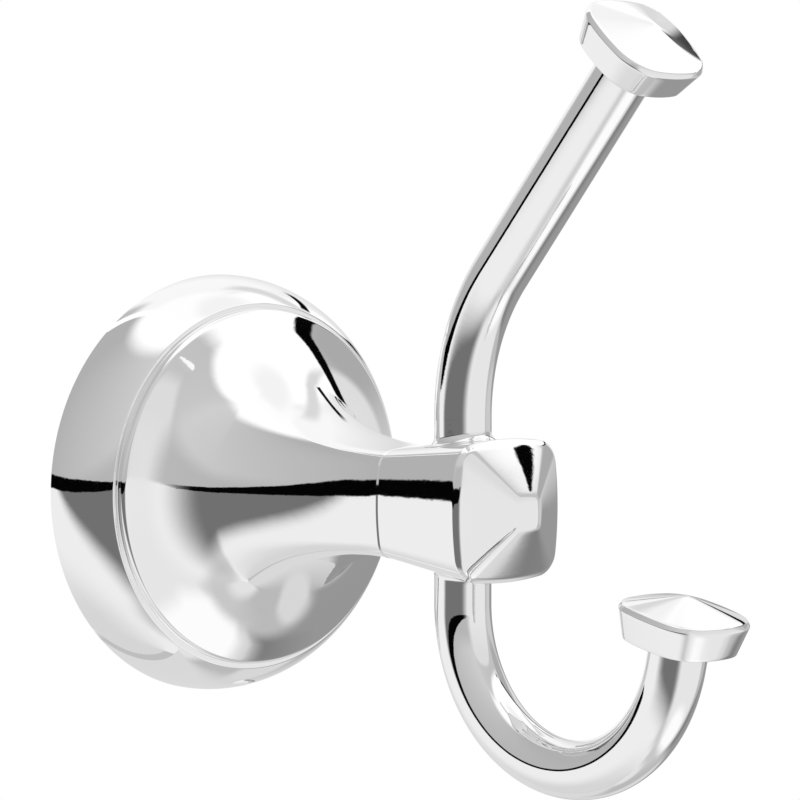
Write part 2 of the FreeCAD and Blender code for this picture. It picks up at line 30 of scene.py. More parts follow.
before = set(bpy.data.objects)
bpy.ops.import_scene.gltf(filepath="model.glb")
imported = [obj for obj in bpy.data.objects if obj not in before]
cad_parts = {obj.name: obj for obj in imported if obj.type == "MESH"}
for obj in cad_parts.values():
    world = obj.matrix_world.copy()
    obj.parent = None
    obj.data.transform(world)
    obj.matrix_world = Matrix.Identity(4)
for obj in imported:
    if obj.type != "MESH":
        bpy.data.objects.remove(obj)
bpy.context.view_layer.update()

MM = 0.001

# Sizes of the solids, in millimetres and radians, under the names that the sheet gives them
flange_radius = 35.0
flange_curve = 15.2
ledge_depth = 10.8
ledge_width = 0.9
rim_height = 0.7
rim_round = 0.9
rim_angle = math.radians(66.0)
rim_width = 2.76
bell_pull = 18.5
neck_pull = 7.6
joint_depth = 50.5
neck_half = 9.0
neck_flare = math.radians(5.3)
neck_bulge = 42.0
neck_corner = 3.0
morph_span = 8.6
joint_bevel = 0.25
wall = 2.4
throat_radius = 6.4
web = 8.5
boss_radius = 4.5
boss_gap = 0.4
hub_half = 11.2
hub_bulge = 53.5
hub_corner = 4.0
hub_length = 19.9
swell_ratio = 0.94
hub_bevel = 0.8
hub_bevel_in = 0.7
point_half = 2.3
point_corner = 0.9
point_height = 4.5
arm_setback = 10.2
arm_radius = 4.5
arm_fillet = 1.4
upper_rise = 14.2
upper_bend = 34.4
upper_angle = math.radians(41.3)
upper_run = 42.0
lower_drop = 15.3
lower_bend = 23.4
lower_angle = math.radians(167.8)
lower_run = 3.0
finial_foot = 7.75
finial_half = 8.9
finial_bulge = 23.5
finial_corner = 5.8
finial_height = 4.55
finial_bevel = 0.67
finial_bevel_in = 0.43
finial_point = 2.4
finial_tip = 0.5
spigot_radius = 3.2
spigot_length = 3.0
key_half = 5.4
key_length = 2.6
fit_gap = 0.05
end_gap = 0.1
joint_thread = 2.5
joint_length = 16.0
tapped_spare = 1.5
washer_thick = 1.3
pass_gap = 0.25
lip_setback = 7.5
set_thread = 2.0
set_depth = 3.0

# How deep the boss ends under the flange's outside and how far it stays off the wall plane, and
# how far the set screw's way reaches past the bracket's lip and the flange
BOSS_INSET = 1.6
BOSS_CLEAR = 0.4
WAY_INSIDE = 0.5
WAY_OUTSIDE = 2.0

# How far the small curves reach that take the sharpness off the edges: of the ledge's crest and
# foot, of the hub at its widest place, its bevel's front and its flat point, and of a finial at its
# foot, its widest place, its bevel's front and its point
LEDGE_SOFT = (0.16, 0.12)
HUB_SOFT = (0.22, 0.3, 0.8)
FINIAL_SOFT = (0.15, 0.2, 0.22, 2.2)
SOFT_STEPS = 5
MOST_OF_SIDE = 0.45

# Fineness of the meshes: longest steps in millimetres, and numbers of steps
POST_STEP = 0.6
HUB_STEP = 0.55
FINIAL_STEP = 0.5
BEND_STEP = 0.6
RUN_STEP = 1.5
FLANGE_STEPS = 30
RIM_STEPS = 8
INSIDE_STEPS = 16
TRUMPET_STEPS = 120
HOLLOW_STEPS = 40
HUB_STEPS = 40
LEAST_BEND_STEPS = 12
BAR_COLUMNS = 48

COLUMNS = 240
ANGLES = np.arange(COLUMNS) * 2.0 * math.pi / COLUMNS
SHARP = math.radians(34.0)
SHRINK = 0.001
TINY = 1e-9


# Closed surfaces made of rings of points. A state is a section across the post's axis: half width,
# depth from the wall, radius of the bulged sides and radius of the corners.

def corner_place(half, bulge, corner):
    """Offset of a corner's centre from the axis, and half the angle that a bulged side spans."""
    shift = bulge - half
    reach = bulge - corner
    offset = (math.sqrt(max(2.0 * reach ** 2 - shift ** 2, 0.0)) - shift) / 2.0
    swing = math.atan2(offset, offset + shift) if offset > TINY else 0.0
    return offset, swing


def square_radius(half, bulge, corner):
    """Polar radius, at every column, of a square with four bulged sides and round corners."""
    turn = np.abs((ANGLES + math.pi / 4.0) % (math.pi / 2.0) - math.pi / 4.0)
    shift = bulge - half
    offset, swing = corner_place(half, bulge, corner)
    edge = math.atan2(bulge * math.sin(swing), bulge * math.cos(swing) - shift)
    side = np.sqrt(bulge ** 2 - (shift * np.sin(turn)) ** 2) - shift * np.cos(turn)
    inner = np.maximum(corner ** 2 - offset ** 2 * (1.0 - np.sin(2.0 * turn)), 0.0)
    round_part = offset * (np.cos(turn) + np.sin(turn)) + np.sqrt(inner)
    return np.where(turn < edge, side, round_part)


def ring(radius, depth):
    """Points round the axis of the post, at a depth from the wall."""
    across = radius * np.cos(ANGLES)
    up = radius * np.sin(ANGLES)
    return np.stack([across, np.full(COLUMNS, -depth), up], 1)


def square_ring(half, depth):
    """The same for a plain square."""
    return ring(half / np.maximum(np.abs(np.cos(ANGLES)), np.abs(np.sin(ANGLES))), depth)


def section(state):
    """The ring of one state."""
    half, depth, bulge, corner = state
    return ring(square_radius(half, bulge, corner), depth)


def middle_point(depth):
    """A ring of one point on the axis of the post."""
    return np.array([0.0, -depth, 0.0])


def circle(radius, count):
    """Points of a level circle."""
    turns = np.arange(count) * 2.0 * math.pi / count
    return np.stack([radius * np.cos(turns), radius * np.sin(turns), np.zeros(count)], 1)


def arc(across, depth, radius, start, end, steps):
    """Points of an arc, as half width and depth."""
    angles = np.linspace(start, end, steps + 1)
    return [(across + radius * math.cos(a), depth + radius * math.sin(a)) for a in angles]


def round_states(pairs):
    """States of circular sections, from pairs of half width and depth."""
    return [np.array([half, depth, half, half]) for half, depth in pairs]


def shrunk(state):
    """A state drawn in to nearly a point, to end a run of states with."""
    return state * np.array([SHRINK, 1.0, SHRINK, SHRINK])


def softened(states, first, reaches):
    """A run of states with some corners replaced by small curves.

    first is the number of the first such corner. reaches says how far the curve of each goes.
    """
    found = list(states[:first])
    for number, reach in enumerate(reaches, first):
        here = states[number]
        ends = []
        for other in (states[number - 1], states[number + 1]):
            way = other - here
            length = math.hypot(way[0], way[1])
            ends.append(here + way * min(reach / length, MOST_OF_SIDE))
        before, after = ends
        for step in range(SOFT_STEPS + 1):
            share = step / SOFT_STEPS
            found.append((1 - share) ** 2 * before + 2 * share * (1 - share) * here
                         + share ** 2 * after)
    return found + list(states[first + len(reaches):])


def divided(states, longest):
    """The same run with its long straight stretches divided."""
    found = [states[0]]
    for state in states[1:]:
        start = found[-1]
        way = state - start
        count = max(1, math.ceil(math.hypot(way[0], way[1]) / longest))
        found += [start + way * step / count for step in range(1, count + 1)]
    return found


def solid(name, rings, closed=False):
    """A mesh object from rings, of which one may be a single point.

    A closed solid joins its last ring to its first.
    """
    points = []
    starts = []
    for item in rings:
        item = np.atleast_2d(item)
        starts.append((len(points), len(item)))
        points.extend((item * MM).tolist())
    faces = []
    pairs = list(zip(starts[:-1], starts[1:]))
    if closed:
        pairs.append((starts[-1], starts[0]))
    for (one, one_count), (two, two_count) in pairs:
        count = max(one_count, two_count)
        for column in range(count):
            after = (column + 1) % count
            if one_count == 1:
                faces.append((one, two + column, two + after))
            elif two_count == 1:
                faces.append((one + column, two, one + after))
            else:
                faces.append((one + column, two + column, two + after, one + after))
    mesh = bpy.data.meshes.new(name)
    mesh.from_pydata(points, [], faces)
    mesh.update()
    item = bpy.data.objects.new(name, mesh)
    bpy.context.scene.collection.objects.link(item)
    return item


def combine(item, other, operation):
    """Joins another solid to a solid, or cuts it out, and removes the other."""
    change = item.modifiers.new(operation.lower(), "BOOLEAN")
    change.operation = operation
    change.solver = "EXACT"
    change.object = other
    bpy.context.view_layer.update()
    graph = bpy.context.evaluated_depsgraph_get()
    mesh = bpy.data.meshes.new_from_object(item.evaluated_get(graph))
    item.modifiers.clear()
    old = item.data
    item.data = mesh
    bpy.data.meshes.remove(old)
    bpy.data.objects.remove(other)


def smooth(item):
    """Smooth shading with crisp creases, weighted by the size of the faces."""
    mesh = item.data
    mesh.polygons.foreach_set("use_smooth", [True] * len(mesh.polygons))
    mesh.set_sharp_from_angle(angle=SHARP)
    change = item.modifiers.new("weighted_normals", "WEIGHTED_NORMAL")
    change.mode = "FACE_AREA_WITH_ANGLE"
    change.keep_sharp = True


# Post

HOLLOW_START = 0.95
HOLLOW_END = 0.3


def ledge_end():
    """Radius of the ledge's outer edge."""
    return flange_radius - flange_curve + math.sqrt(flange_curve ** 2 - ledge_depth ** 2)


def rim_end():
    """Half width and depth where the bell's rounded rim ends."""
    radius = ledge_end() - ledge_width - rim_round * (1.0 - math.cos(rim_angle))
    return radius, ledge_depth + rim_height + rim_round * math.sin(rim_angle)


def bell_foot():
    """Half width and depth where the rim's straight slope passes into the trumpet."""
    radius, depth = rim_end()
    return radius - rim_width, depth + rim_width / math.tan(rim_angle)


def bell_point(share, inward=0.0):
    """Half width and depth on the trumpet, from the neck (0) to its foot (1), moved inward."""
    foot_half, foot_depth = bell_foot()
    neck_end = joint_depth - joint_bevel
    knots = np.array([
        (neck_half, neck_end),
        (neck_half - neck_pull * math.tan(neck_flare), neck_end - neck_pull),
        (foot_half - bell_pull * math.sin(rim_angle), foot_depth + bell_pull * math.cos(rim_angle)),
        (foot_half, foot_depth)])
    rest = 1.0 - share
    weights = np.array([rest ** 3, 3 * rest ** 2 * share, 3 * rest * share ** 2, share ** 3])
    place = weights @ knots
    pace = np.array([rest ** 2, 2 * rest * share, share ** 2]) @ (knots[1:] - knots[:-1])
    length = math.hypot(*pace)
    return place[0] + inward * pace[1] / length, place[1] - inward * pace[0] / length


def bell_state(share):
    """State of the trumpet, a rounded square at the neck that turns into a circle."""
    half, depth = bell_point(share)
    roundness = min(max((half - neck_half) / morph_span, 0.0), 1.0)
    scale = half / neck_half
    bulge = 1.0 / ((1.0 - roundness) / (neck_bulge * scale) + roundness / half)
    corner = (1.0 - roundness) * neck_corner * scale + roundness * half
    return np.array([half, depth, bulge, corner])


def joint_state():
    """State of the post and of the hook where they touch, inside the joint's bevel."""
    return np.array([
        neck_half - joint_bevel,
        joint_depth,
        neck_bulge - joint_bevel,
        neck_corner - joint_bevel])


def flange_centre():
    """Half width of the middle of the flange's curve, and the curve's turn up to the ledge."""
    return flange_radius - flange_curve, math.asin(ledge_depth / flange_curve)


def post_outside():
    """States of the outside, from the wall to the joint."""
    centre, turn = flange_centre()
    foot = ledge_end() - ledge_width
    rim = ledge_depth + rim_height
    flange = arc(centre, 0.0, flange_curve, 0.0, turn, FLANGE_STEPS)
    ledge = [(foot, ledge_depth), (foot, rim)]
    lip = arc(foot - rim_round, rim, rim_round, 0.0, rim_angle, RIM_STEPS)[1:]
    states = round_states(flange + ledge + lip + [bell_foot()])
    states = softened(states, len(flange) - 1, LEDGE_SOFT)
    shares = np.linspace(1.0, 0.0, TRUMPET_STEPS + 1)[1:]
    return states + [bell_state(share) for share in shares]


def post_socket():
    """Rings of the key's socket and of the joint screw's way through the web."""
    side = key_half + fit_gap
    way = joint_thread + pass_gap
    bottom = joint_depth - key_length - end_gap
    return [square_ring(side, joint_depth), square_ring(side, bottom),
            ring(way, bottom), ring(way, joint_depth - web)]


def post_hollow():
    """States of the hollow, from the web back to the wall."""
    centre, turn = flange_centre()
    floor = joint_depth - web
    shares = np.linspace(HOLLOW_START, HOLLOW_END, HOLLOW_STEPS)
    curve = [bell_point(share, wall) for share in shares]
    curve = [place for place in curve if place[0] > throat_radius and place[1] < floor]
    half, depth = curve[-1]
    hollow = [(throat_radius, floor), (throat_radius, depth + half - throat_radius)]
    hollow += curve[::-1]
    hollow += arc(centre, 0.0, flange_curve - wall, turn, 0.0, INSIDE_STEPS)
    return round_states(hollow)


def upright_bar(name, radius, top, bottom):
    """A round bar along z between two heights, at the set screw's depth."""
    rim = circle(radius, BAR_COLUMNS)
    ends = [np.array([0.0, -set_depth, height]) for height in (bottom, top)]
    return solid(name, [ends[0], rim + ends[0], rim + ends[1], ends[1]])


def build_post():
    """One casting: flange, bell and neck, hollow behind, with socket, web and set screw's boss."""
    rings = [section(state) for state in divided(post_outside(), POST_STEP)]
    rings.append(section(joint_state()))
    rings += post_socket()
    rings += [section(state) for state in post_hollow()]
    post = solid("post_casting", rings, closed=True)
    lip = flange_radius - lip_setback
    boss = upright_bar("boss", boss_radius, -lip - boss_gap, -flange_radius + BOSS_INSET)
    for vertex in boss.data.vertices:
        vertex.co.y = min(vertex.co.y, -BOSS_CLEAR * MM)
    combine(post, boss, "UNION")
    way = upright_bar(
        "set_way", set_thread + fit_gap, -lip + WAY_INSIDE, -flange_radius - WAY_OUTSIDE)
    combine(post, way, "DIFFERENCE")
    return post


# Hook

ARM_COLUMNS = 96
ARM_ANGLES = np.arange(ARM_COLUMNS) * 2.0 * math.pi / ARM_COLUMNS

# An arm starts as a thinner core inside the hub. Its fillet is a ball's round that touches the hub:
# it cuts in a little, so that no gap stays, and turns a little further than the touching place.
CORE_RATIO = 0.86
CORE_HEIGHT = 3.0
ROOT_STEPS = 12
ROOT_SINK = 0.985
ROOT_OVERRUN = 0.16
ROOT_SAMPLES = 60
ROOT_HALVINGS = 40


def hub_state(share):
    """State of the hub between the bevel of the joint (0) and its widest place (1)."""
    rise = swell_ratio * share + (1.0 - swell_ratio) * share ** 2
    return np.array([
        neck_half + (hub_half - neck_half) * rise,
        joint_depth + joint_bevel + (hub_length - joint_bevel) * share,
        neck_bulge + (hub_bulge - neck_bulge) * share,
        neck_corner + (hub_corner - neck_corner) * share])


def hub_top(across, depth):
    """Height of the hub's top side over a place."""
    share = (depth - joint_depth - joint_bevel) / (hub_length - joint_bevel)
    half, _, bulge, corner = hub_state(share)
    offset, swing = corner_place(half, bulge, corner)
    if abs(across) < bulge * math.sin(swing):
        return math.sqrt(bulge ** 2 - across ** 2) - (bulge - half)
    return offset + math.sqrt(max(corner ** 2 - (abs(across) - offset) ** 2, 0.0))


def root_profile(angle):
    """Fillet at an arm's root in one upright plane through its axis: pairs of radius and height."""
    depth = joint_depth + arm_setback

    def height(radius):
        return hub_top(radius * math.cos(angle), depth - radius * math.sin(angle))

    radii = np.linspace(arm_radius, arm_radius + 2.0 * arm_fillet, ROOT_SAMPLES)
    heights = np.array([height(radius) for radius in radii])
    middle = arm_radius + arm_fillet
    low = heights.min()
    high = heights.max() + 2.0 * arm_fillet
    for _ in range(ROOT_HALVINGS):
        level = (low + high) / 2.0
        nearest = np.hypot(radii - middle, heights - level).min()
        if level > height(middle) and nearest > arm_fillet * ROOT_SINK:
            high = level
        else:
            low = level
    touch = np.hypot(radii - middle, heights - level).argmin()
    end = math.atan2(heights[touch] - level, radii[touch] - middle)
    end = end if end < 0 else end - 2.0 * math.pi
    end += math.acos(ROOT_SINK) + ROOT_OVERRUN
    turns = np.linspace(-math.pi, end, ROOT_STEPS)
    return [(middle + arm_fillet * math.cos(t), level + arm_fillet * math.sin(t)) for t in turns]


def arm_path(bend, turn, straight, run):
    """Depths, heights and turns along an arm above its straight start, as on the upper arm."""
    depth = joint_depth + arm_setback
    steps = max(LEAST_BEND_STEPS, int(bend * turn / BEND_STEP))
    places = []
    for angle in np.linspace(0.0, turn, steps + 1):
        out = depth + bend * (1.0 - math.cos(angle))
        places.append((out, straight + bend * math.sin(angle), angle))
    out, up, _ = places[-1]
    count = max(1, int(run / RUN_STEP))
    for step in range(1, count + 1):
        way = run * step / count
        places.append((out + way * math.sin(turn), up + way * math.cos(turn), turn))
    return places


def arm_ring(radii, out, up, angle, sign):
    """A ring across an arm."""
    fore = radii * np.sin(ARM_ANGLES)
    return np.stack([
        radii * np.cos(ARM_ANGLES),
        -out + fore * math.cos(angle),
        sign * (up + fore * math.sin(angle))], 1)


def arm(name, sign, bend, turn, straight, run):
    """One arm with its fillet and spigot, and the place and direction of its end.

    sign is 1 for the upper arm and -1 for the lower one.
    """
    depth = joint_depth + arm_setback
    rings = [np.array([0.0, -depth, sign * CORE_HEIGHT])]
    rings.append(arm_ring(CORE_RATIO * arm_radius, depth, CORE_HEIGHT, 0.0, sign))
    profiles = np.array([root_profile(angle) for angle in ARM_ANGLES])
    for step in range(ROOT_STEPS - 1, -1, -1):
        radii, heights = profiles[:, step].T
        rings.append(arm_ring(radii, depth, heights, 0.0, sign))
    path = arm_path(bend, turn, straight, run)
    rings += [arm_ring(arm_radius, out, up, angle, sign) for out, up, angle in path]
    out, up, angle = path[-1]
    tip_out = out + spigot_length * math.sin(angle)
    tip_up = up + spigot_length * math.cos(angle)
    rings.append(arm_ring(spigot_radius, out, up, angle, sign))
    rings.append(arm_ring(spigot_radius, tip_out, tip_up, angle, sign))
    rings.append(np.array([0.0, -tip_out, sign * tip_up]))
    way = Vector((0.0, -math.sin(angle), sign * math.cos(angle)))
    return solid(name, rings), (Vector((0.0, -out, sign * up)), way)


def hub_states():
    """States of the hub's outside, from the joint's bevel to the tip of its low pyramid."""
    flare = [hub_state(share) for share in np.linspace(0.0, 1.0, HUB_STEPS + 1)]
    front = joint_depth + hub_length + hub_bevel
    base = np.array([
        hub_half - hub_bevel_in,
        front,
        hub_bulge - hub_bevel_in,
        hub_corner - hub_bevel_in])
    flat = np.array([
        point_half,
        front + point_height,
        hub_bulge * point_half / hub_half,
        point_corner])
    return softened(flare + [base, flat, shrunk(flat)], len(flare) - 1, HUB_SOFT)


def build_hook():
    """One casting: hub with low pyramid and key, and both arms. Gives the ends of the arms too."""
    tapped = joint_thread + fit_gap
    start = joint_depth - key_length
    bottom = start + joint_length + tapped_spare - washer_thick - web + key_length
    rings = [
        middle_point(bottom),
        ring(tapped, bottom),
        ring(tapped, start),
        square_ring(key_half, start),
        square_ring(key_half, joint_depth),
        section(joint_state())]
    states = hub_states()
    tip = states.pop()
    rings += [section(state) for state in divided(states, HUB_STEP)]
    rings.append(middle_point(tip[1]))
    hook = solid("hook_casting", rings)
    upper, upper_end = arm("upper_arm", 1, upper_bend, upper_angle, upper_rise, upper_run)
    lower, lower_end = arm("lower_arm", -1, lower_bend, lower_angle, lower_drop, lower_run)
    lower.data.flip_normals()
    combine(hook, upper, "UNION")
    combine(hook, lower, "UNION")
    return hook, upper_end, lower_end


# Finials

def build_finial(name, tip, way):
    """A finial, seated on the end of an arm."""
    crown = finial_height + finial_bevel
    socket = spigot_radius + fit_gap
    deep = spigot_length + end_gap
    share = finial_foot / finial_half
    small = finial_tip / finial_half
    inner = np.array([socket, 0.0, socket, socket])
    foot = np.array([finial_foot, 0.0, finial_bulge * share, finial_corner * share])
    widest = np.array([finial_half, finial_height, finial_bulge, finial_corner])
    bevel = np.array([
        finial_half - finial_bevel_in,
        crown,
        finial_bulge - finial_bevel_in,
        finial_corner - finial_bevel_in])
    point = np.array([
        finial_tip, crown + finial_point, finial_bulge * small, finial_corner * small])
    states = softened([inner, foot, widest, bevel, point, shrunk(point)], 1, FINIAL_SOFT)
    end = states.pop()
    rings = [middle_point(deep), ring(socket, deep)]
    rings += [section(state) for state in divided(states, FINIAL_STEP)]
    rings.append(middle_point(end[1]))
    item = solid(name, rings)
    lean = math.atan2(-way.z, -way.y)
    item.data.transform(Matrix.Rotation(lean, 4, "X"))
    item.data.transform(Matrix.Translation(tip * MM))
    return item


# Materials

def feed(tree, socket, term):
    """Gives a socket a number, or links another socket to it."""
    if isinstance(term, bpy.types.NodeSocket):
        tree.links.new(term, socket)
    else:
        socket.default_value = term


def numeric(tree, operation, *terms):
    """Output of a Math node fed by numbers or sockets."""
    node = tree.nodes.new("ShaderNodeMath")
    node.operation = operation
    for socket, term in zip(node.inputs, terms):
        feed(tree, socket, term)
    return node.outputs[0]


def ranged(tree, value, low, high, new_low=0.0, new_high=1.0, kind="SMOOTHSTEP"):
    """A value mapped from one range to another, held at its ends."""
    node = tree.nodes.new("ShaderNodeMapRange")
    node.interpolation_type = kind
    tree.links.new(value, node.inputs["Value"])
    node.inputs["From Min"].default_value = low
    node.inputs["From Max"].default_value = high
    node.inputs["To Min"].default_value = new_low
    node.inputs["To Max"].default_value = new_high
    return node.outputs["Result"]


def noise(tree, coordinates, size, detail=2.0, roughness=0.5):
    """Noise whose lumps are about as wide as the size, in millimetres."""
    node = tree.nodes.new("ShaderNodeTexNoise")
    tree.links.new(coordinates, node.inputs["Vector"])
    node.inputs["Scale"].default_value = 1.0 / (size * MM)
    node.inputs["Detail"].default_value = detail
    node.inputs["Roughness"].default_value = roughness
    return node.outputs["Fac"]


def bumped(tree, height, reach, normal=None):
    """Normal of a surface that a height moves by up to a reach, in millimetres."""
    node = tree.nodes.new("ShaderNodeBump")
    node.inputs["Strength"].default_value = 1.0
    node.inputs["Distance"].default_value = reach * MM
    tree.links.new(height, node.inputs["Height"])
    if normal is not None:
        tree.links.new(normal, node.inputs["Normal"])
    return node.outputs["Normal"]


def tinted(tree, shader, value, low, high, dark, light):
    """Base colour that runs from a dark to a light tint as a value runs from low to high."""
    node = tree.nodes.new("ShaderNodeValToRGB")
    for element, place, tint in zip(node.color_ramp.elements, (low, high), (dark, light)):
        element.position = place
        element.color = (*tint, 1.0)
    tree.links.new(value, node.inputs["Fac"])
    tree.links.new(node.outputs["Color"], shader.inputs["Base Color"])


def object_place(tree):
    """Coordinates that are fixed to the object."""
    return tree.nodes.new("ShaderNodeTexCoord").outputs["Object"]


def metal(name, colour, roughness):
    """A metal material, its tree, its shader and the object's coordinates.

    The colour and roughness are averages, for programs that don't follow the nodes.
    """
    material = bpy.data.materials.new(name)
    material.use_nodes = True
    tree = material.node_tree
    shader = tree.nodes["Principled BSDF"]
    shader.inputs["Base Color"].default_value = (*colour, 1.0)
    shader.inputs["Metallic"].default_value = 1.0
    shader.inputs["Roughness"].default_value = roughness
    return material, tree, shader, object_place(tree)


CHROME = 0.93


def polished_chrome():
    """Bright chrome plate on a buffed casting: long soft waves, fine ripple and a faint haze."""
    material, tree, shader, place = metal("polished_chrome", (CHROME, CHROME, CHROME), 0.02)
    haze = noise(tree, place, size=1.2, detail=4.0, roughness=0.6)
    tree.links.new(ranged(tree, haze, 0.35, 0.7, 0.012, 0.035), shader.inputs["Roughness"])
    waves = noise(tree, place, size=8.0, detail=1.0)
    ripple = noise(tree, place, size=1.5)
    normal = bumped(tree, waves, reach=0.022)
    normal = bumped(tree, ripple, reach=0.0035, normal=normal)
    tree.links.new(normal, shader.inputs["Normal"])
    return material


def zinc_plate():
    """Passivated zinc on pressed and turned steel: faint cloudy spangle and drawing marks."""
    material, tree, shader, place = metal("zinc_plate", (0.62, 0.64, 0.66), 0.34)
    cloud = noise(tree, place, size=3.0, detail=4.0, roughness=0.6)
    tinted(tree, shader, cloud, 0.3, 0.72, dark=(0.52, 0.54, 0.57), light=(0.7, 0.71, 0.7))
    tree.links.new(ranged(tree, cloud, 0.3, 0.7, 0.27, 0.42), shader.inputs["Roughness"])
    grain = noise(tree, place, size=0.22, detail=3.0)
    tree.links.new(bumped(tree, grain, reach=0.008), shader.inputs["Normal"])
    return material


def spring_steel():
    """Blued spring steel, with a fine ground grain."""
    material, tree, shader, place = metal("spring_steel", (0.3, 0.31, 0.33), 0.38)
    stretch = tree.nodes.new("ShaderNodeMapping")
    stretch.inputs["Scale"].default_value = (1.0, 6.0, 1.0)
    tree.links.new(place, stretch.inputs["Vector"])
    grain = noise(tree, stretch.outputs["Vector"], size=0.5, detail=3.0, roughness=0.6)
    tinted(tree, shader, grain, 0.3, 0.7, dark=(0.2, 0.21, 0.23), light=(0.38, 0.39, 0.4))
    tree.links.new(ranged(tree, grain, 0.3, 0.7, 0.3, 0.45), shader.inputs["Roughness"])
    tree.links.new(bumped(tree, grain, reach=0.006), shader.inputs["Normal"])
    return material


# Studio. Tones are those that a light shows in the chrome, from 0 (black) to 255 (white).
# Places are directions in degrees: turn from the front, positive to the right, and height.

WHITE = 256.0


def strength(tone):
    """Light whose reflection in the chrome has a tone, by the sRGB curve."""
    share = tone / 255.0
    linear = share / 12.92 if share <= 0.04045 else ((share + 0.055) / 1.055) ** 2.4
    return linear / CHROME


def blend(tree, below, above, mask):
    """One strength laid over another where a mask is 1."""
    node = tree.nodes.new("ShaderNodeMix")
    node.data_type = "FLOAT"
    for name, term in (("Factor", mask), ("A", below), ("B", above)):
        numbers = (item for item in node.inputs if item.name == name and item.type == "VALUE")
        feed(tree, next(numbers), term)
    return next(item for item in node.outputs if item.type == "VALUE")


class Sky:
    """Masks and strengths over the directions seen from the object. soft is how wide an edge is."""

    def __init__(self, tree, vector):
        self.tree = tree
        split = tree.nodes.new("ShaderNodeSeparateXYZ")
        tree.links.new(vector, split.inputs[0])
        self.x, self.y, self.z = split.outputs[0], split.outputs[1], split.outputs[2]
        degrees = math.degrees(1.0)
        turn = self.math("ARCTAN2", self.x, self.math("MULTIPLY", self.y, -1.0))
        self.turn = self.math("MULTIPLY", turn, degrees)
        self.height = self.math("MULTIPLY", self.math("ARCSINE", self.z), degrees)

    def math(self, operation, *terms):
        """Output of a Math node."""
        return numeric(self.tree, operation, *terms)

    def above(self, value, edge, soft):
        """1 where a value lies above an edge."""
        if isinstance(edge, bpy.types.NodeSocket):
            return ranged(self.tree, self.math("SUBTRACT", value, edge), -soft / 2.0, soft / 2.0)
        return ranged(self.tree, value, edge - soft / 2.0, edge + soft / 2.0)

    def below(self, value, edge, soft):
        """1 where a value lies below an edge."""
        return self.math("SUBTRACT", 1.0, self.above(value, edge, soft))

    def between(self, value, low, high, soft):
        """1 where a value lies between two edges. soft gives one width for each."""
        return self.both(self.above(value, low, soft[0]), self.below(value, high, soft[1]))

    def stripe(self, middle, half, soft):
        """1 where the height lies within half a stripe's width of its middle."""
        low = self.math("SUBTRACT", middle, half)
        high = self.math("ADD", middle, half)
        return self.between(self.height, low, high, (soft, soft))

    def both(self, *masks):
        """1 where every mask is 1."""
        result = masks[0]
        for mask in masks[1:]:
            result = self.math("MULTIPLY", result, mask)
        return result

    def away(self, value, middle, half):
        """Distance of a value from a middle, as a share of a half width."""
        off = self.math("DIVIDE", self.math("SUBTRACT", value, middle), half)
        return self.math("ABSOLUTE", off)

    def line(self, start, slope, turn=0.0):
        """Height of an edge that rises by a slope per degree of turn, from a start at a turn."""
        return self.math("MULTIPLY_ADD", self.math("SUBTRACT", self.turn, turn), slope, start)

    def oval(self, middle, half, soft, power=2.0):
        """1 inside an oval, given by turns and heights. soft is a share of the oval."""
        across = self.math("POWER", self.away(self.turn, middle[0], half[0]), power)
        along = self.math("POWER", self.away(self.height, middle[1], half[1]), power)
        total = self.math("POWER", self.math("ADD", across, along), 1.0 / power)
        return self.below(total, 1.0, soft)

    def ramp(self, value, ends, tones):
        """Strength that runs from one tone to another between two ends."""
        low, high = strength(tones[0]), strength(tones[1])
        return ranged(self.tree, value, ends[0], ends[1], low, high, "LINEAR")

    def lay(self, base, tone, mask):
        """A tone, or a strength socket, laid over a base where the mask is 1."""
        terms = [term if isinstance(term, bpy.types.NodeSocket) else strength(term)
                 for term in (base, tone)]
        return blend(self.tree, *terms, mask)


WALL_SPAN = (-150.0, -20.0)
BAND_TURN = math.radians(-105.0)
BAND_LOW = -0.062
BAND_HIGH = 0.042
BAND_SOFT = 0.012
LEAST_REACH = 0.01


